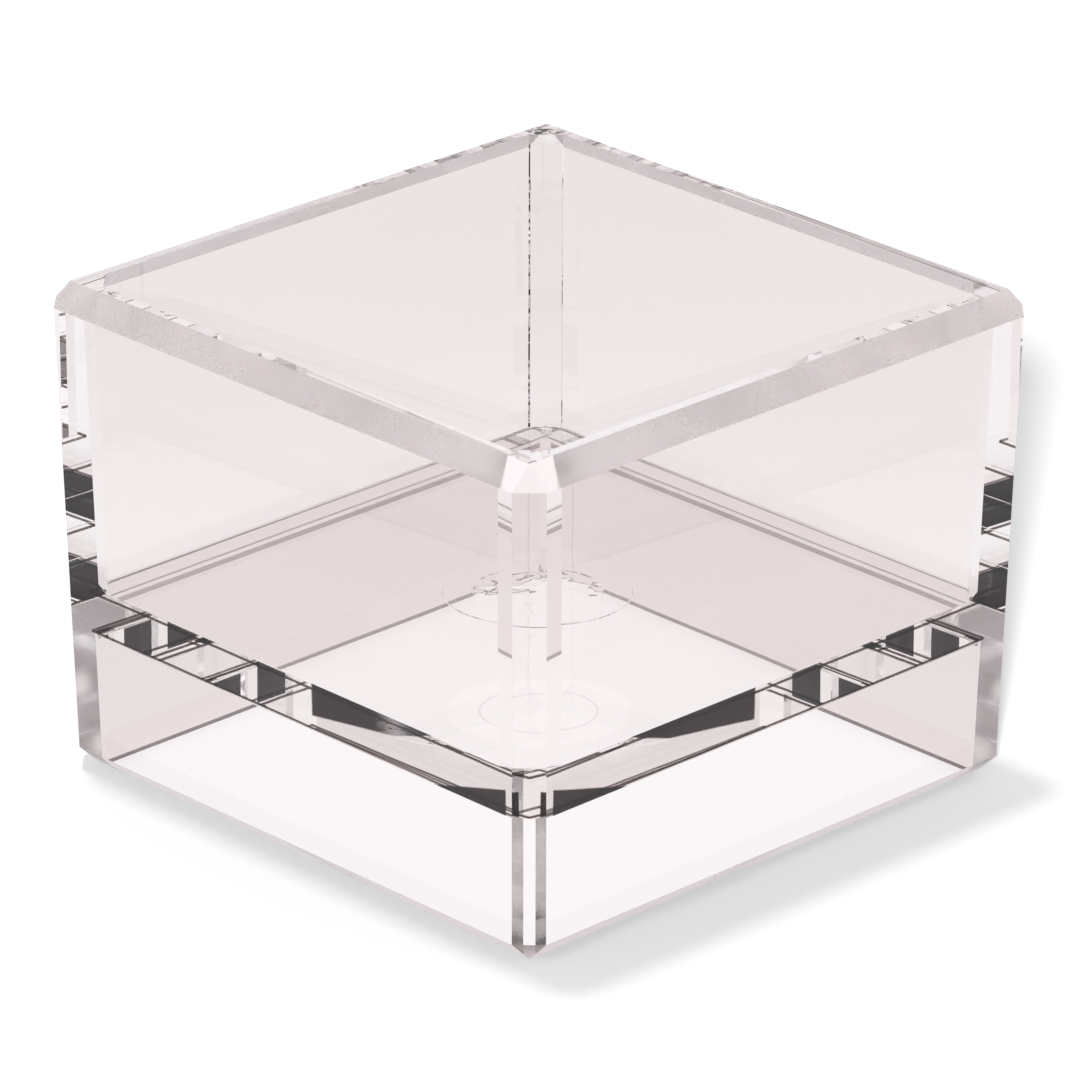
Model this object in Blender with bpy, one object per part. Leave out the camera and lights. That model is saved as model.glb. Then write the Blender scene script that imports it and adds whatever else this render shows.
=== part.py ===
# Clear acrylic tray for a vanity table: four thick walls mitred at the corners, a floor panel
# set at mid height between them, and an open hollow underneath. Metres, +Z up, the origin at
# the centre of the base. The wall at -Y is the front wall.

from math import cos, pi, sin

import bmesh
import bpy
from mathutils import Matrix, Vector

# Overall size. The walls lean in evenly from the rim down to the base.
RIM_WIDTH = 0.1270
BASE_WIDTH = 0.1226
HEIGHT = 0.0946

# Walls, measured level, and the flat that is ground along every outer edge.
WALL = 0.0062
EDGE_BEVEL = 0.0042

# Floor panel: height of its top face, its thickness and the cove along both its edges.
FLOOR_TOP = 0.0357
FLOOR_THICKNESS = 0.0086
COVE_RADIUS = 0.0013

# Corner beads: the concave strips in the inside corners, above and below the floor.
UPPER_BEAD_RADIUS = 0.0046
LOWER_BEAD_RADIUS = 0.0018

# Round disc let into the middle of the floor, with a shallow dish in its top.
DISC_DIAMETER = 0.0302
DISC_THICKNESS = 0.0012
DISC_RECESS = 0.0007
DISH_DIAMETER = 0.0196
DISH_DEPTH = 0.0004
DISC_EDGE_ROUND = 0.0003

# Fits: the joint left between two bonded faces, and the blunt lip of a feathered edge.
JOINT_GAP = 0.0003
FEATHER_LIP = 0.0002

# Smoothness of the round shapes, in straight steps.
BEAD_STEPS = 8
COVE_STEPS = 4
ROUND_STEPS = 64

# Clear acrylic, with the faint pink cast of the thick edges.
ACRYLIC_COLOUR = (0.965, 0.945, 0.945, 1.0)
ACRYLIC_ROUGHNESS = 0.03
ACRYLIC_IOR = 1.49

FLOOR_UNDERSIDE = FLOOR_TOP - FLOOR_THICKNESS
CORNERS = ("back_right", "back_left", "front_left", "front_right")


def outer_half(z):
    """Half the width over the walls' outer faces, at height z."""
    return (BASE_WIDTH + (RIM_WIDTH - BASE_WIDTH) * z / HEIGHT) / 2


def inner_half(z):
    """Half the width between the walls' inner faces, at height z."""
    return outer_half(z) - WALL


def clear_scene():
    for old in list(bpy.data.objects):
        bpy.data.objects.remove(old, do_unlink=True)


def acrylic(name):
    material = bpy.data.materials.new(name)
    material.use_nodes = True
    shader = material.node_tree.nodes["Principled BSDF"]
    shader.inputs["Base Color"].default_value = ACRYLIC_COLOUR
    shader.inputs["Roughness"].default_value = ACRYLIC_ROUGHNESS
    shader.inputs["Metallic"].default_value = 0.0
    shader.inputs["IOR"].default_value = ACRYLIC_IOR
    shader.inputs["Transmission Weight"].default_value = 1.0
    return material


def add_object(name, bm, smooth=False):
    """Turn a bmesh into a named object with its own material."""
    bmesh.ops.recalc_face_normals(bm, faces=bm.faces)
    mesh = bpy.data.meshes.new(name)
    bm.to_mesh(mesh)
    bm.free()
    if smooth:
        mesh.shade_smooth()
        mesh.set_sharp_from_angle(angle=pi / 6)
    mesh.materials.append(acrylic(name + "_acrylic"))
    part = bpy.data.objects.new(name, mesh)
    bpy.context.collection.objects.link(part)
    return part


def add_cutter(name, bm):
    cutter = add_object(name, bm)
    cutter.hide_render = True
    cutter.display_type = "WIRE"
    return cutter


def cut_away(part, cutter):
    boolean = part.modifiers.new(cutter.name, "BOOLEAN")
    boolean.operation = "DIFFERENCE"
    boolean.solver = "EXACT"
    boolean.object = cutter


def square_ring(half, z):
    return [Vector((-half, -half, z)), Vector((half, -half, z)),
            Vector((half, half, z)), Vector((-half, half, z))]


def rounded_ring(half, radius, z):
    """A square outline with round corners, counterclockwise from the back right corner."""
    middle = half - radius
    ring = []
    for quarter in range(4):
        start = quarter * pi / 2
        turn = Matrix.Rotation(start, 3, "Z")
        centre = turn @ Vector((middle, middle, z))
        for step in range(BEAD_STEPS + 1):
            angle = start + step * pi / 2 / BEAD_STEPS
            ring.append(centre + Vector((radius * cos(angle), radius * sin(angle), 0)))
    return ring


def loft(rings):
    """A closed solid through rings with as many points each."""
    bm = bmesh.new()
    loops = [[bm.verts.new(point) for point in ring] for ring in rings]
    count = len(rings[0])
    for low, high in zip(loops, loops[1:]):
        for i in range(count):
            j = (i + 1) % count
            bm.faces.new((low[i], low[j], high[j], high[i]))
    bm.faces.new(list(reversed(loops[0])))
    bm.faces.new(loops[-1])
    return bm


def turned(profile):
    """A solid of revolution about Z. The profile is (radius, z) points, both ends on the axis."""
    bm = bmesh.new()
    points = [bm.verts.new((radius, 0, z)) for radius, z in profile]
    edges = [bm.edges.new(pair) for pair in zip(points, points[1:])]
    bmesh.ops.spin(bm, geom=points + edges, cent=(0, 0, 0), axis=(0, 0, 1),
                   angle=2 * pi, steps=ROUND_STEPS, use_merge=True)
    bmesh.ops.remove_doubles(bm, verts=bm.verts, dist=1e-7)
    return bm


def slice_off(bm, point, normal):
    """Cut a convex solid with a plane and drop what lies on the side of its normal."""
    cut = bmesh.ops.bisect_plane(bm, geom=bm.verts[:] + bm.edges[:] + bm.faces[:], dist=1e-7,
                                 plane_co=point, plane_no=normal, clear_outer=True)
    edges = [item for item in cut["geom_cut"] if isinstance(item, bmesh.types.BMEdge)]
    bmesh.ops.contextual_create(bm, geom=edges)


def bevelled_block():
    """The whole outer form: a block that narrows downwards, every edge bevelled."""
    bm = loft([square_ring(outer_half(0), 0), square_ring(outer_half(HEIGHT), HEIGHT)])
    bmesh.ops.bevel(bm, geom=bm.edges[:], offset=EDGE_BEVEL, offset_type="OFFSET",
                    segments=1, profile=0.5, affect="EDGES")
    return bm


def make_wall(name, quarter_turns):
    """The front wall's share of the block, turned to its side of the tray.

    Two planes through the block's axis cut the mitres, and one along the inner face
    cuts the thickness. Half the joint gap comes off each mitre.
    """
    bm = bevelled_block()
    for side in (-1, 1):
        across = Vector((side, 1, 0)).normalized()
        slice_off(bm, across * -JOINT_GAP / 2, across)
    low = Vector((0, -inner_half(0), 0))
    high = Vector((0, -inner_half(HEIGHT), HEIGHT))
    slice_off(bm, low, Vector((1, 0, 0)).cross(high - low) * -1)
    bmesh.ops.rotate(bm, verts=bm.verts, cent=(0, 0, 0),
                     matrix=Matrix.Rotation(quarter_turns * pi / 2, 3, "Z"))
    return add_object(name, bm)


def coved_cutter(name, face_z, mouth_z, bead_radius):
    """The space of a compartment, with a cove where its walls meet the floor face.

    It runs from the floor face at face_z out to mouth_z, above it or below it.
    """
    out = 1 if mouth_z > face_z else -1
    rings = []
    for step in range(COVE_STEPS + 1):
        angle = step * pi / 2 / COVE_STEPS
        inset = COVE_RADIUS * (1 - sin(angle)) + JOINT_GAP + FEATHER_LIP
        z = face_z + out * COVE_RADIUS * (1 - cos(angle))
        rings.append(rounded_ring(inner_half(z) - inset, bead_radius, z))
    rings.append(rounded_ring(inner_half(mouth_z) - JOINT_GAP - FEATHER_LIP, bead_radius, mouth_z))
    if out < 0:
        rings.reverse()
    return add_cutter(name, loft(rings))


def make_floor_panel():
    """The panel between the walls, thicker by the coves along its edges."""
    low = FLOOR_UNDERSIDE - COVE_RADIUS
    high = FLOOR_TOP + COVE_RADIUS
    panel = add_object("floor_panel", loft([square_ring(inner_half(low) - JOINT_GAP, low),
                                            square_ring(inner_half(high) - JOINT_GAP, high)]))
    past = 3 * COVE_RADIUS
    cut_away(panel, coved_cutter("upper_space", FLOOR_TOP, high + past, UPPER_BEAD_RADIUS))
    cut_away(panel, coved_cutter("lower_space", FLOOR_UNDERSIDE, low - past, LOWER_BEAD_RADIUS))
    recess = DISC_DIAMETER / 2 + JOINT_GAP
    bottom = FLOOR_TOP - DISC_RECESS
    cut_away(panel, add_cutter("disc_space", turned([(0, bottom), (recess, bottom),
                                                     (recess, high), (0, high)])))
    return panel


def make_bead(name, quarter_turns, radius, low, high):
    """One concave strip, standing in the back right corner and then turned to its own."""
    edge = JOINT_GAP + FEATHER_LIP
    outline = [(JOINT_GAP, JOINT_GAP), (radius, JOINT_GAP)]
    for step in range(BEAD_STEPS + 1):
        angle = step * pi / 2 / BEAD_STEPS
        reach = radius - edge
        outline.append((radius - reach * sin(angle), radius - reach * cos(angle)))
    outline.append((JOINT_GAP, radius))
    rings = [[Vector((inner_half(z) - u, inner_half(z) - v, z)) for u, v in outline]
             for z in (low, high)]
    bm = loft(rings)
    bmesh.ops.rotate(bm, verts=bm.verts, cent=(0, 0, 0),
                     matrix=Matrix.Rotation(quarter_turns * pi / 2, 3, "Z"))
    return add_object(name, bm, smooth=True)


def make_centre_disc():
    """The round disc in the floor's recess, its rim eased and its top slightly dished."""
    bottom = FLOOR_TOP - DISC_RECESS + JOINT_GAP
    top = bottom + DISC_THICKNESS
    outer = DISC_DIAMETER / 2
    dish = DISH_DIAMETER / 2
    profile = [(0, bottom), (outer, bottom), (outer, top - DISC_EDGE_ROUND),
               (outer - DISC_EDGE_ROUND, top), (dish, top),
               (dish - DISH_DEPTH, top - DISH_DEPTH), (0, top - DISH_DEPTH)]
    return add_object("centre_disc", turned(profile), smooth=True)


def build():
    clear_scene()
    for turns, side in enumerate(("front", "right", "back", "left")):
        make_wall(side + "_wall", turns)
    make_floor_panel()
    upper_low = FLOOR_TOP + COVE_RADIUS + JOINT_GAP
    lower_high = FLOOR_UNDERSIDE - COVE_RADIUS - JOINT_GAP
    for turns, corner in enumerate(CORNERS):
        make_bead("upper_bead_" + corner, turns, UPPER_BEAD_RADIUS, upper_low, HEIGHT)
        make_bead("lower_bead_" + corner, turns, LOWER_BEAD_RADIUS, 0, lower_high)
    make_centre_disc()


build()
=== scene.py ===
from collections import namedtuple
from math import cos, pi, radians, sin

import bmesh
import bpy
from mathutils import Matrix, Vector


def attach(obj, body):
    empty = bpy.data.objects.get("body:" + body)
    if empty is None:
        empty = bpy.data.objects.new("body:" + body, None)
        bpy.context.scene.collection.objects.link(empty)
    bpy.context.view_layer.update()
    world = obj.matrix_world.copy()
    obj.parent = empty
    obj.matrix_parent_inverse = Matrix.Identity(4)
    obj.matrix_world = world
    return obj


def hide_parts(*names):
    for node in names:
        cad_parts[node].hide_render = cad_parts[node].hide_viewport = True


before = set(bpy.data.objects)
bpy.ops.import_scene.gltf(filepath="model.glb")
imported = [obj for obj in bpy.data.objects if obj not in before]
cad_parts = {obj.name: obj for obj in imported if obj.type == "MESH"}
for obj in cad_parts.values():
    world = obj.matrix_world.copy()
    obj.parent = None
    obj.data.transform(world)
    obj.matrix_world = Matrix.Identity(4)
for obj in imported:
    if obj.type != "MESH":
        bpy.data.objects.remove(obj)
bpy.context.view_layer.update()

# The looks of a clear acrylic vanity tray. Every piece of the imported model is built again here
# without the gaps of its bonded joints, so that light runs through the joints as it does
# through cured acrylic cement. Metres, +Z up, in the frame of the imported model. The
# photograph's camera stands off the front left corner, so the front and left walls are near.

# Sizes of the tray. A bead's leg is its width along each of the two walls it lies against.
RIM_WIDTH = 0.1270
BASE_WIDTH = 0.1226
HEIGHT = 0.0946
WALL = 0.0062
EDGE_BEVEL = 0.0042
FLOOR_TOP = 0.0357
FLOOR_UNDERSIDE = 0.0271
COVE_RADIUS = 0.0003
UPPER_BEAD_LEG = 0.0046
LOWER_BEAD_LEG = 0.0015
DISC_RADIUS = 0.0151
DISC_SEAT = 0.0350
DISC_TOP = 0.0359
DISH_RADIUS = 0.0098
DISH_DEPTH = 0.0001
DISC_EDGE_BEVEL = 0.0001

# The floor panel's joint with the walls runs past its faces by the coves.
PANEL_LOW = FLOOR_UNDERSIDE - COVE_RADIUS
PANEL_HIGH = FLOOR_TOP + COVE_RADIUS

# Straight steps in a cove, and round the disc.
COVE_STEPS = 4
ROUND_STEPS = 128

# How near a point lies to a plane that it is taken to lie on, and how near a cut passes an
# edge or a corner that it is taken to pass through.
TOUCH = 1e-6
CUT_TOUCH = 1e-7

# A wall's faces are sorted along this line. No two of them have their middles at one place on it.
SORT_DIRECTION = Vector((0.53, 0.29, 0.79))

# Slots of a piece's materials. The cast face is a slot of the disc, whose list is its own.
(ACRYLIC, CEMENT, GROUND_EDGE, PANEL_JOINT, JOINT_WITH_PAINTED_REFLECTIONS,
 RIM_EDGE, PAINTED_SHADE_LINE, SHADED_FOOT_EDGE) = range(8)
CAST_FACE = 2

# The rim's and the foot's ground edges are the faces whose unit normal points up or down by
# more than the first and less than the second.
GROUND_SLOPE = (0.3, 0.9)

# Walls on the camera's side.
NEAR_WALLS = ("front", "left")

# Dark lines along the far walls' inner faces, from and to which height: the shade under the
# floor panel, and the one where the wall stands on the table.
PAINTED_SHADE_LINES = ((0.0252, 0.0262), (0.0, 0.0008))

# Looks of the acrylic surfaces: the least and the most roughness, the ripple's strength and
# fineness, and the palest and the deepest cast.
Look = namedtuple("Look", "roughness ripple fineness cast")
POLISHED = Look((0.0, 0.015), 0.1, 22.0, ((0.995, 0.980, 0.980), (0.985, 0.970, 0.972)))
GROUND = Look((0.09, 0.14), 0.1, 22.0, ((0.965, 0.920, 0.925), (0.940, 0.885, 0.895)))
MATT_RIM = Look((0.24, 0.30), 0.03, 22.0, ((0.975, 0.915, 0.925), (0.955, 0.885, 0.895)))
# The shaded foot and the shaded line are acrylic with painted shade in their cast.
SHADED_FOOT = Look((0.09, 0.14), 0.1, 22.0, ((0.42, 0.34, 0.35), (0.32, 0.25, 0.26)))
SHADED_LINE = Look((0.0, 0.02), 0.1, 22.0, ((0.20, 0.155, 0.165), (0.13, 0.095, 0.105)))
CAST_DISC = Look((0.0, 0.03), 0.45, 260.0, ((0.990, 0.975, 0.975), (0.980, 0.960, 0.965)))

# Every acrylic surface: its index, the scale and detail of the noise behind the cast, the haze
# and the ripple, the part of the haze that shows, and the height of the ripple.
ACRYLIC_INDEX = 1.49
CAST_NOISE = (18.0, 2.0)
HAZE_NOISE = (90.0, 4.0)
HAZE_RANGE = (0.35, 0.75)
RIPPLE_DETAIL = 1.0
RIPPLE_HEIGHT = 0.0002

# The share of the rim's ground edges that is clear. The rest of it is matt.
RIM_CLEARNESS = 0.80

# The share of light that one face lets through on its way to the table.
LIGHT_PASSED = (0.53, 0.525, 0.525)

# Seams of the panel joint: the height, half the width, and the share of light one side lets
# through. The noise lifts the heights in a joint by up to the waver, and by half on average.
Seam = namedtuple("Seam", "height half_width shade")
PANEL_SEAMS = (Seam(0.0350, 0.00035, (0.36, 0.31, 0.31)), Seam(0.0273, 0.0003, (0.36, 0.31, 0.31)))
WAVER = 0.0003
WAVER_NOISE = (70.0, 2.0)

# Painted dark reflections in the near walls' joints with the floor panel: each edge's height
# at mid wall, its slope along the wall and whether the painted reflection lies above it, and
# from where to where along the wall it fades in.
PaintedReflection = namedtuple("PaintedReflection", "edges fade")
PAINTED_REFLECTIONS = (PaintedReflection(((0.0175, -0.275, False),), (-0.0533, -0.0530)),
           PaintedReflection(((0.0292, -0.14, True), (0.0242, -0.34, True)), (-0.0034, -0.0039)))
PAINTED_REFLECTION_TONE = (0.035, 0.022, 0.024)
PAINTED_REFLECTION_EDGE = 0.0004

# The studio's paper: half its width, and how far it lies under the tray.
PAPER_HALF = 6.0
PAPER_DROP = 0.0001

# The way from the camera over the table, level.
AWAY = (sin(pi / 4), cos(pi / 4), 0.0)

# The paper's own colour, and then the painted light that it gives in and through the tray: its
# tones near and far from the camera and where they change, and the painted shadow behind the tray,
# a darker zone, with where it starts and ends beyond the tray's middle.
PLAIN_WHITE = (1.0, 1.0, 1.0)
PAPER_WHITE = (0.95, 0.95, 0.95)
PAPER_NEAR = (0.974, 0.949, 0.955)
PAPER_FAR = (0.837, 0.772, 0.772)
PAPER_CHANGE = (-0.02, 0.32)
PAPER_SHADOW = (0.835, 0.80, 0.80)
PAINTED_SHADOW_START = (0.050, 0.062)
PAINTED_SHADOW_END = (0.112, 0.124)

# Light that the floor's disc throws on the paper: its middle, how far away from the camera, the
# pale round's radius and brightness with the softness of its edge, and the fine dark ring's
# radius, half width and shade.
GLOW_AWAY = 0.0145
GLOW_ROUND = (0.0145, (1.055, 1.055, 1.055))
GLOW_EDGE = 0.0006
GLOW_RING = (0.0087, 0.0004, (0.83, 0.82, 0.82))

# Light of the studio, by what a ray meets there. The ambient light is what the paper receives.
BACKDROP = (0.86, 0.80, 0.80)
SIDE_WALL = (0.66, 0.59, 0.59)
SIDE_GAP = (0.006, 0.004, 0.005)
CAMERA_SIDE = (0.22, 0.19, 0.19)
LIGHT_PANEL = (0.82, 0.76, 0.76)
SIDE_PANEL = (0.72, 0.66, 0.67)
DIM_CEILING = (0.35, 0.31, 0.32)
PALE_CEILING = (0.70, 0.64, 0.64)
TOP_LIGHT = (0.82, 0.77, 0.77)
AMBIENT = (0.25, 0.25, 0.25)

# Where these give way to each other, as shares of a direction's length: how far it points to
# either side, how far it points to the backdrop, and how far up.
SIDE_START = (0.50, 0.85)
GAP_SIDE_START = (0.76, 0.87)
CEILING_SIDE_START = (0.38, 0.58)
CAMERA_SIDE_START = (-0.70, -0.90)
GAP_START = (0.285, 0.305)
PANEL_START = (0.445, 0.475)
CEILING_START = (0.58, 0.63)
TOP_LIGHT_START = (0.80, 0.86)

# Strength, spread in degrees, and where each lamp stands as seen from the tray.
KEY_LIGHT = (1.10, 4.5, (0.002, 0.122, 0.99))
FILL_LIGHT = (4.1, 3.4, (-0.6934, -0.5915, 0.4115))

# How often light may turn or pass in the acrylic, on the paper, and in the joints.
ACRYLIC_BOUNCES = 160
PAPER_BOUNCES = 4
JOINT_PASSES = 255


def outer_half(z):
    """Half the width over the walls' outer faces, at height z."""
    return (BASE_WIDTH + (RIM_WIDTH - BASE_WIDTH) * z / HEIGHT) / 2


def inner_half(z):
    """Half the width between the walls' inner faces, at height z."""
    return outer_half(z) - WALL


# Materials


class Graph:
    """The nodes of a material or the world, none at first."""

    def __init__(self, owner):
        owner.use_nodes = True
        self.tree = owner.node_tree
        self.tree.nodes.clear()

    def add(self, kind, inputs=None, **settings):
        """Add a node and return its outputs. An input is a value or another node's output."""
        node = self.tree.nodes.new("ShaderNode" + kind)
        for name, value in settings.items():
            setattr(node, name, value)
        for key, value in (inputs or {}).items():
            socket = node.inputs[key]
            if isinstance(value, bpy.types.NodeSocket):
                self.tree.links.new(value, socket)
            elif socket.type == "RGBA":
                socket.default_value = (*value, 1.0)
            else:
                socket.default_value = value
        return node.outputs

    def calculate(self, operation, *values):
        return self.add("Math", dict(enumerate(values)), operation=operation)["Value"]

    def combine(self, operation, first, second, result="Vector"):
        return self.add("VectorMath", {0: first, 1: second}, operation=operation)[result]

    def ramp(self, source, start, end):
        """A smooth step of a value from 0 at start to 1 at end."""
        return self.add("MapRange", {"Value": source, "From Min": start, "From Max": end},
                        interpolation_type="SMOOTHSTEP")["Result"]

    def mix(self, factor, first, second):
        """A mix of two colours, all the second one where the factor is 1."""
        return self.add("Mix", {"Factor": factor, "A": first, "B": second},
                        data_type="RGBA")["Result"]

    def noise(self, place, scale, detail):
        return self.add("TexNoise", {"Vector": place, "Scale": scale, "Detail": detail})["Fac"]


def acrylic_material(name, look, clearness=1.0):
    """Clear acrylic with a slow ripple, a trace of haze and the look's cast: a faint pink, and
    in the shaded looks painted shade.
    """
    material = bpy.data.materials.new(name)
    graph = Graph(material)
    place = graph.add("TexCoord")["Object"]
    cast = graph.mix(graph.noise(place, *CAST_NOISE), *look.cast)
    roughness = graph.add("MapRange", {"Value": graph.noise(place, *HAZE_NOISE),
                                       "From Min": HAZE_RANGE[0], "From Max": HAZE_RANGE[1],
                                       "To Min": look.roughness[0], "To Max": look.roughness[1]})
    ripple = graph.noise(place, look.fineness, RIPPLE_DETAIL)
    bump = graph.add("Bump", {"Height": ripple, "Strength": look.ripple,
                              "Distance": RIPPLE_HEIGHT})
    acrylic = graph.add("BsdfPrincipled", {"Base Color": cast, "Metallic": 0.0,
                                           "Roughness": roughness["Result"],
                                           "IOR": ACRYLIC_INDEX,
                                           "Transmission Weight": clearness,
                                           "Normal": bump["Normal"]})

    # Light on its way to the table passes straight through, with a share lost at each face.
    passing = graph.add("BsdfTransparent", {"Color": LIGHT_PASSED})
    path = graph.add("LightPath")
    straight = graph.calculate("MAXIMUM", path["Is Shadow Ray"], path["Is Diffuse Ray"])
    blend = graph.add("MixShader", {"Fac": straight, 1: acrylic["BSDF"], 2: passing["BSDF"]})
    graph.add("OutputMaterial", {"Surface": blend["Shader"]})
    return material


def painted_reflection_share(graph, axes, level, painted_reflection):
    """1 where a joint's point lies inside a painted dark reflection, and 0 outside it."""
    # On the left wall and the front wall alike, this is the place along the wall.
    along = graph.calculate("MAXIMUM", axes["X"], axes["Y"])
    share = graph.ramp(along, *painted_reflection.fade)
    for height, slope, above in painted_reflection.edges:
        edge = graph.calculate("ADD", graph.calculate("MULTIPLY", along, slope), height)
        over = graph.calculate("SUBTRACT", level, edge)
        side = graph.ramp(over, 0.0, PAINTED_REFLECTION_EDGE if above else -PAINTED_REFLECTION_EDGE)
        share = graph.calculate("MULTIPLY", share, side)
    return share


def seam_and_painted_reflection_tone(graph, seams, painted_reflections):
    """The share of light that a joint lets through, with its seams and painted dark reflections.
    """
    place = graph.add("TexCoord")["Object"]
    axes = graph.add("SeparateXYZ", {"Vector": place})
    lift = graph.calculate("MULTIPLY", graph.noise(place, *WAVER_NOISE), WAVER)
    level = graph.calculate("ADD", axes["Z"], lift)
    tone = PLAIN_WHITE
    for seam in seams:
        offset = graph.calculate("SUBTRACT", level, seam.height + WAVER / 2)
        offset = graph.calculate("ABSOLUTE", offset)
        inside = graph.ramp(offset, seam.half_width, seam.half_width / 2)
        tone = graph.mix(inside, tone, seam.shade)
    for painted_reflection in painted_reflections:
        tone = graph.mix(painted_reflection_share(graph, axes, level, painted_reflection), tone, PAINTED_REFLECTION_TONE)
    return tone


def joint_material(name, seams=(), painted_reflections=()):
    """Cured cement in a bonded joint. It has the acrylic's own index, so only its seams show,
    and in the near walls' joints the painted dark reflections.
    """
    material = bpy.data.materials.new(name)
    graph = Graph(material)
    tone = seam_and_painted_reflection_tone(graph, seams, painted_reflections) if seams else PLAIN_WHITE
    clear = graph.add("BsdfTransparent", {"Color": tone})
    graph.add("OutputMaterial", {"Surface": clear["BSDF"]})
    return material


# Shapes


def square_ring(half, z):
    """A square outline, counterclockwise from the front left corner."""
    return [Vector((-half, -half, z)), Vector((half, -half, z)),
            Vector((half, half, z)), Vector((-half, half, z))]


def chamfered_ring(half, leg, z):
    """A square outline with its corners cut off, counterclockwise from the back right one."""
    middle = half - leg
    ring = []
    for quarter in range(4):
        start = quarter * pi / 2
        centre = Matrix.Rotation(start, 3, "Z") @ Vector((middle, middle, z))
        for angle in (start, start + pi / 2):
            ring.append(centre + Vector((leg * cos(angle), leg * sin(angle), 0)))
    return ring


def corner_pair(ring, corner):
    """The two points of a chamfered ring at a corner, as a square ring counts its corners."""
    first = (corner + 2) % 4 * 2
    return ring[first:first + 2]


def add_verts(bm, points):
    return [bm.verts.new(point) for point in points]


def bridge(bm, low, high):
    """Faces between two loops of vertices with as many points each."""
    count = len(low)
    return [bm.faces.new((low[i], low[(i + 1) % count], high[(i + 1) % count], high[i]))
            for i in range(count)]


def slice_off(bm, point, normal):
    """Cut a convex solid with a plane and drop what lies on the side of its normal."""
    cut = bmesh.ops.bisect_plane(bm, geom=bm.verts[:] + bm.edges[:] + bm.faces[:],
                                 dist=CUT_TOUCH, plane_co=point, plane_no=normal,
                                 clear_outer=True)
    edges = [item for item in cut["geom_cut"] if isinstance(item, bmesh.types.BMEdge)]
    bmesh.ops.contextual_create(bm, geom=edges)


def quarter_turned(bm, turns):
    bmesh.ops.rotate(bm, verts=bm.verts, cent=(0, 0, 0),
                     matrix=Matrix.Rotation(turns * pi / 2, 3, "Z"))


def add_piece(name, node, bm, materials):
    """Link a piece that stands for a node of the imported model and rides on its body."""
    mesh = bpy.data.meshes.new(name)
    bm.to_mesh(mesh)
    bm.free()
    for material in materials:
        mesh.materials.append(material)
    piece = bpy.data.objects.new(name, mesh)
    bpy.context.scene.collection.objects.link(piece)
    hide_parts(node)
    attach(piece, "root")


# Walls. Each is shaped as the front wall and then turned to its side.


def bevelled_block():
    """The whole outer form: a block that narrows downwards, every edge bevelled."""
    bm = bmesh.new()
    low = add_verts(bm, square_ring(outer_half(0), 0))
    high = add_verts(bm, square_ring(outer_half(HEIGHT), HEIGHT))
    bridge(bm, low, high)
    bm.faces.new(list(reversed(low)))
    bm.faces.new(high)
    bmesh.ops.bevel(bm, geom=bm.edges[:], offset=EDGE_BEVEL, offset_type="OFFSET",
                    segments=1, profile=0.5, affect="EDGES")
    return bm


def on_inner_face(point):
    return abs(point.y + inner_half(point.z)) < TOUCH


def split_inner_face(bm, point, normal):
    faces = [face for face in bm.faces if all(on_inner_face(v.co) for v in face.verts)]
    edges = dict.fromkeys(edge for face in faces for edge in face.edges)
    verts = dict.fromkeys(vert for face in faces for vert in face.verts)
    bmesh.ops.bisect_plane(bm, geom=list(verts) + list(edges) + faces, dist=CUT_TOUCH,
                           plane_co=point, plane_no=normal)


def inner_slot(middle, near):
    """The slot of a part of the inner face. The floor panel and the beads are bonded to it."""
    if PANEL_LOW < middle.z < PANEL_HIGH:
        # The near walls' joints carry painted dark reflections as well as the seams.
        return JOINT_WITH_PAINTED_REFLECTIONS if near else PANEL_JOINT
    leg = UPPER_BEAD_LEG if middle.z > PANEL_HIGH else LOWER_BEAD_LEG
    if abs(middle.x) > inner_half(middle.z) - leg:
        return CEMENT
    # The far walls' inner faces carry painted shade lines under the floor panel and at the foot.
    if not near and any(low < middle.z < high for low, high in PAINTED_SHADE_LINES):
        return PAINTED_SHADE_LINE
    return ACRYLIC


def wall_slot(face, near):
    """The slot of a wall's face. The mitres are bonded, the rim and the foot are ground, and
    the near walls' foot bevel carries painted shade.
    """
    middle = face.calc_center_median()
    if abs(abs(middle.x) + middle.y) < TOUCH:
        return CEMENT
    if on_inner_face(middle):
        return inner_slot(middle, near)
    if not GROUND_SLOPE[0] < abs(face.normal.z) < GROUND_SLOPE[1]:
        return ACRYLIC
    if face.normal.z > 0:
        return RIM_EDGE if abs(face.normal.x) < TOUCH else GROUND_EDGE
    # The near walls' foot bevel is ground and carries painted shade.
    return SHADED_FOOT_EDGE if near else GROUND_EDGE


def make_wall(side, turns, materials):
    bm = bevelled_block()
    for hand in (-1, 1):
        slice_off(bm, Vector(), Vector((hand, 1, 0)))
    low = Vector((0, -inner_half(0), 0))
    slope = Vector((0, -inner_half(HEIGHT), HEIGHT)) - low
    slice_off(bm, low, slope.cross(Vector((1, 0, 0))))
    line_ends = [z for line in PAINTED_SHADE_LINES for z in line if z > 0]
    for z in (PANEL_LOW, PANEL_HIGH, *line_ends):
        split_inner_face(bm, Vector((0, 0, z)), Vector((0, 0, 1)))
    for leg in (UPPER_BEAD_LEG, LOWER_BEAD_LEG):
        for hand in (-1, 1):
            foot = Vector((hand * (inner_half(0) - leg), 0, 0))
            head = Vector((hand * (inner_half(HEIGHT) - leg), 0, HEIGHT))
            split_inner_face(bm, foot, (head - foot).cross(Vector((0, 1, 0))))
    bmesh.ops.recalc_face_normals(bm, faces=bm.faces)
    for face in bm.faces:
        face.material_index = wall_slot(face, side in NEAR_WALLS)
    # The cuts leave the faces in another order on each run.
    bm.faces.sort(key=lambda face: face.calc_center_median().dot(SORT_DIRECTION))
    quarter_turned(bm, turns)
    add_piece("clear_" + side + "_wall", side + "_wall", bm, materials)


# Beads. Each is shaped in the back right corner and then turned to its own.


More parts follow.
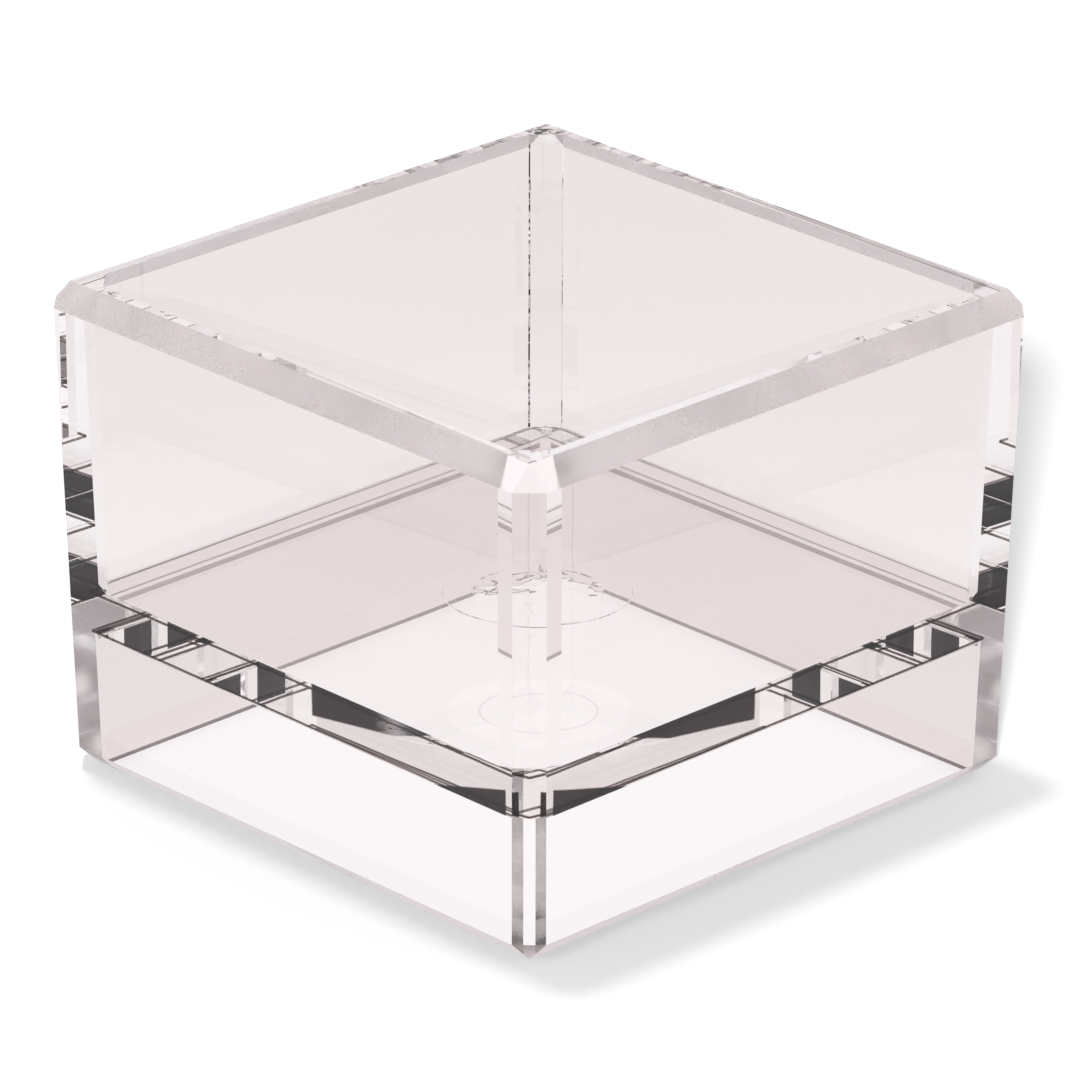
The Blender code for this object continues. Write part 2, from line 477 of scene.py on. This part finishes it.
def make_bead(kind, corner, turns, leg, low, high, materials):
    """A flat three-sided strip in an inside corner, from low to high."""
    bm = bmesh.new()
    outline = [(0, 0), (leg, 0), (0, leg)]
    loops = [add_verts(bm, [(inner_half(z) - u, inner_half(z) - v, z) for u, v in outline])
             for z in (low, high)]
    sides = bridge(bm, *loops)
    lower_end = bm.faces.new(list(reversed(loops[0])))
    upper_end = bm.faces.new(loops[1])
    on_panel = lower_end if kind == "upper" else upper_end
    for face in (sides[0], sides[-1], on_panel):
        face.material_index = CEMENT
    bmesh.ops.recalc_face_normals(bm, faces=bm.faces)
    quarter_turned(bm, turns)
    name = kind + "_bead_" + corner
    add_piece("clear_" + name, name, bm, materials)


# Floor panel and disc


def circle(bm, radius, z):
    return add_verts(bm, [(radius * cos(2 * pi * i / ROUND_STEPS),
                           radius * sin(2 * pi * i / ROUND_STEPS), z)
                          for i in range(ROUND_STEPS)])


def coved_side(bm, face_z, out, bead_leg):
    """The cove round one side of the panel. Returns its inner loop and its outer one."""
    loops = []
    for step in range(COVE_STEPS + 1):
        angle = step * pi / 2 / COVE_STEPS
        inset = COVE_RADIUS * (1 - sin(angle))
        z = face_z + out * COVE_RADIUS * (1 - cos(angle))
        ring = chamfered_ring(inner_half(z) - inset, bead_leg - inset, z)
        loops.append(add_verts(bm, ring))
    for near, far in zip(loops, loops[1:]):
        for face in bridge(bm, near, far):
            face.smooth = True
    return loops[0], loops[-1]


def edges_of(loop):
    """The edges between a loop's vertices, each of which has one to the next."""
    return [next(edge for edge in here.link_edges if edge.other_vert(here) == there)
            for here, there in zip(loop, loop[1:] + loop[:1])]


def make_floor_panel(materials):
    bm = bmesh.new()
    top, top_rim = coved_side(bm, FLOOR_TOP, 1, UPPER_BEAD_LEG)
    under, under_rim = coved_side(bm, FLOOR_UNDERSIDE, -1, LOWER_BEAD_LEG)
    seat_rim = circle(bm, DISC_RADIUS, FLOOR_TOP)
    seat = circle(bm, DISC_RADIUS, DISC_SEAT)
    bonded = bridge(bm, seat, seat_rim)
    bonded.append(bm.faces.new(seat))
    bmesh.ops.triangle_fill(bm, use_beauty=True, edges=edges_of(top) + edges_of(seat_rim))
    bm.faces.new(under)
    high = add_verts(bm, square_ring(inner_half(PANEL_HIGH), PANEL_HIGH))
    low = add_verts(bm, square_ring(inner_half(PANEL_LOW), PANEL_LOW))
    for corners, rim in ((high, top_rim), (low, under_rim)):
        for i, corner in enumerate(corners):
            bonded.append(bm.faces.new([corner] + corner_pair(rim, i)))
    for i in range(4):
        j = (i + 1) % 4
        side = bm.faces.new((low[i], corner_pair(under_rim, i)[1],
                             corner_pair(under_rim, j)[0], low[j],
                             high[j], corner_pair(top_rim, j)[0],
                             corner_pair(top_rim, i)[1], high[i]))
        side.material_index = PANEL_JOINT
    for face in bonded:
        face.material_index = CEMENT
    bmesh.ops.recalc_face_normals(bm, faces=bm.faces)
    add_piece("clear_floor_panel", "floor_panel", bm, materials)


def make_centre_disc(materials):
    """The disc in the panel's seat, its rim bevelled and its top slightly dished."""
    bm = bmesh.new()
    profile = [(DISC_RADIUS, DISC_SEAT), (DISC_RADIUS, FLOOR_TOP),
               (DISC_RADIUS, DISC_TOP - DISC_EDGE_BEVEL),
               (DISC_RADIUS - DISC_EDGE_BEVEL, DISC_TOP), (DISH_RADIUS, DISC_TOP),
               (DISH_RADIUS - DISH_DEPTH, DISC_TOP - DISH_DEPTH)]
    loops = [circle(bm, radius, z) for radius, z in profile]
    bands = [bridge(bm, near, far) for near, far in zip(loops, loops[1:])]
    bottom = bm.faces.new(list(reversed(loops[0])))
    bm.faces.new(loops[-1]).material_index = CAST_FACE
    for face in bands[0] + [bottom]:
        face.material_index = CEMENT
    bmesh.ops.recalc_face_normals(bm, faces=bm.faces)
    add_piece("clear_centre_disc", "centre_disc", bm, materials)


def make_tray():
    # In the order of the slots.
    materials = [acrylic_material("clear_acrylic", POLISHED),
                 joint_material("bonded_joint"),
                 acrylic_material("ground_edge_acrylic", GROUND),
                 joint_material("panel_joint", PANEL_SEAMS),
                 # The near walls' joint: seams and painted dark reflections.
                 joint_material("front_joint_with_painted_reflections", PANEL_SEAMS, PAINTED_REFLECTIONS),
                 acrylic_material("matt_rim_acrylic", MATT_RIM, RIM_CLEARNESS),
                 # Painted shade: the dark lines on the far walls' inner faces.
                 acrylic_material("painted_shade_line_acrylic", SHADED_LINE),
                 # Painted shade on the near walls' foot bevel.
                 acrylic_material("shaded_foot_edge_acrylic", SHADED_FOOT)]
    disc_materials = materials[:CAST_FACE] + [acrylic_material("cast_acrylic", CAST_DISC)]
    for turns, side in enumerate(("front", "right", "back", "left")):
        make_wall(side, turns, materials)
    for turns, corner in enumerate(("back_right", "back_left", "front_left", "front_right")):
        make_bead("upper", corner, turns, UPPER_BEAD_LEG, PANEL_HIGH, HEIGHT, materials)
        make_bead("lower", corner, turns, LOWER_BEAD_LEG, 0, PANEL_LOW, materials)
    make_floor_panel(materials)
    make_centre_disc(disc_materials)


# Studio


def painted_paper_light(graph):
    """The painted light that the paper gives in and through the tray, by the place on the table.
    """
    place = graph.add("TexCoord")["Object"]
    axes = graph.add("SeparateXYZ", {"Vector": place})

    distance = graph.combine("DOT_PRODUCT", place, AWAY, "Value")
    tone = graph.mix(graph.ramp(distance, *PAPER_CHANGE), PAPER_NEAR, PAPER_FAR)

    # A painted shadow behind the tray.
    beyond = graph.calculate("MAXIMUM", axes["X"], axes["Y"])
    painted_shadow = graph.mix(graph.ramp(beyond, *PAINTED_SHADOW_START), PLAIN_WHITE, PAPER_SHADOW)
    painted_shadow = graph.mix(graph.ramp(beyond, *PAINTED_SHADOW_END), painted_shadow, PLAIN_WHITE)

    reach = graph.combine("DISTANCE", place, [GLOW_AWAY * part for part in AWAY], "Value")
    radius, pale = GLOW_ROUND
    glow = graph.mix(graph.ramp(reach, radius + GLOW_EDGE, radius), PLAIN_WHITE, pale)
    radius, half_width, dark = GLOW_RING
    offset = graph.calculate("ABSOLUTE", graph.calculate("SUBTRACT", reach, radius))
    glow = graph.mix(graph.ramp(offset, half_width, 0.0), glow, dark)

    return graph.combine("MULTIPLY", graph.combine("MULTIPLY", tone, painted_shadow), glow)


def make_floor():
    """The paper under the tray. The camera sees it plain, with the lamps' shadow on it; in and
    through the tray it glows with painted light.
    """
    mesh = bpy.data.meshes.new("studio_floor")
    mesh.from_pydata(square_ring(PAPER_HALF, -PAPER_DROP), [], [(0, 1, 2, 3)])
    floor = bpy.data.objects.new("studio_floor", mesh)
    bpy.context.scene.collection.objects.link(floor)
    material = bpy.data.materials.new("studio_floor_paper")
    graph = Graph(material)
    plain = graph.add("BsdfDiffuse", {"Color": PAPER_WHITE})
    # Rays other than the camera's meet the paper glowing with painted light.
    painted_light = graph.add("Emission", {"Color": painted_paper_light(graph)})
    blend = graph.add("MixShader", {"Fac": graph.add("LightPath")["Is Camera Ray"],
                                    1: painted_light["Emission"], 2: plain["BSDF"]})
    graph.add("OutputMaterial", {"Surface": blend["Shader"]})
    mesh.materials.append(material)


def make_world():
    """The studio as the tray shows it, laid out round the photograph's viewing direction.

    From the table up there are a pale backdrop with walls at both sides, a dark gap above
    the side walls, a ring of light panels, a ceiling that is dim at the sides, and a top
    light. A camera ray meets plain white.
    """
    world = bpy.data.worlds.new("studio_light")
    bpy.context.scene.world = world
    graph = Graph(world)
    place = graph.add("TexCoord")["Generated"]
    turned = graph.add("Mapping", {"Vector": place, "Rotation": (0, 0, pi / 4)})
    axes = graph.add("SeparateXYZ", {"Vector": turned["Vector"]})
    sideways = graph.calculate("ABSOLUTE", axes["X"])

    low = graph.mix(graph.ramp(sideways, *SIDE_START), BACKDROP, SIDE_WALL)
    low = graph.mix(graph.ramp(axes["Y"], *CAMERA_SIDE_START), low, CAMERA_SIDE)
    gap = graph.mix(graph.ramp(sideways, *GAP_SIDE_START), low, SIDE_GAP)
    panel = graph.mix(graph.ramp(sideways, *SIDE_START), LIGHT_PANEL, SIDE_PANEL)
    ceiling = graph.mix(graph.ramp(sideways, *CEILING_SIDE_START), PALE_CEILING, DIM_CEILING)

    room = low
    for start, above in ((GAP_START, gap), (PANEL_START, panel), (CEILING_START, ceiling),
                         (TOP_LIGHT_START, TOP_LIGHT)):
        room = graph.mix(graph.ramp(axes["Z"], *start), room, above)
    path = graph.add("LightPath")
    room = graph.mix(path["Is Diffuse Ray"], room, AMBIENT)
    room = graph.mix(path["Is Camera Ray"], room, PLAIN_WHITE)
    light = graph.add("Background", {"Color": room})
    graph.add("OutputWorld", {"Surface": light["Background"]})


def make_lamp(name, strength, spread, place):
    """A soft light on the table. The tray doesn't mirror it."""
    data = bpy.data.lights.new(name, "SUN")
    data.angle = radians(spread)
    data.energy = strength
    lamp = bpy.data.objects.new(name, data)
    bpy.context.scene.collection.objects.link(lamp)
    lamp.rotation_euler = Vector(place).to_track_quat("Z", "Y").to_euler()
    lamp.visible_glossy = False
    lamp.visible_transmission = False


def make_camera():
    """The photograph's own viewpoint, worked out from the tray's edges in it."""
    azimuth = radians(0.984 - 45.0)
    elevation = radians(22.978)
    roll = radians(0.13)
    distance = 1.4310
    yaw = radians(0.0138)
    pitch = radians(-0.088)
    focal_length = 263.29
    back = Vector((cos(elevation) * sin(azimuth), -cos(elevation) * cos(azimuth), sin(elevation)))
    forward = -back
    right = forward.cross(Vector((0, 0, 1))).normalized()
    up = right.cross(forward)
    turned = cos(yaw) * forward + sin(yaw) * right
    right = cos(yaw) * right - sin(yaw) * forward
    ahead = cos(pitch) * turned + sin(pitch) * up
    up = cos(pitch) * up - sin(pitch) * turned
    right, up = cos(roll) * right + sin(roll) * up, cos(roll) * up - sin(roll) * right
    data = bpy.data.cameras.new("camera")
    data.sensor_width = 36.0
    data.lens = focal_length
    data.clip_end = 100.0
    camera = bpy.data.objects.new("camera", data)
    bpy.context.scene.collection.objects.link(camera)
    place = Vector((0, 0, HEIGHT / 2)) + back * distance
    camera.matrix_world = Matrix(((right.x, up.x, -ahead.x, place.x),
                                  (right.y, up.y, -ahead.y, place.y),
                                  (right.z, up.z, -ahead.z, place.z),
                                  (0, 0, 0, 1)))
    bpy.context.scene.camera = camera


def set_light_paths():
    """Enough bounces for light to cross every wall and joint, and colours as they are."""
    cycles = bpy.context.scene.cycles
    cycles.max_bounces = ACRYLIC_BOUNCES
    cycles.transmission_bounces = ACRYLIC_BOUNCES
    cycles.glossy_bounces = ACRYLIC_BOUNCES
    cycles.diffuse_bounces = PAPER_BOUNCES
    cycles.transparent_max_bounces = JOINT_PASSES
    bpy.context.scene.view_settings.view_transform = "Standard"


make_tray()
make_floor()
make_world()
make_lamp("key_light", *KEY_LIGHT)
make_lamp("fill_light", *FILL_LIGHT)
make_camera()
set_light_paths()
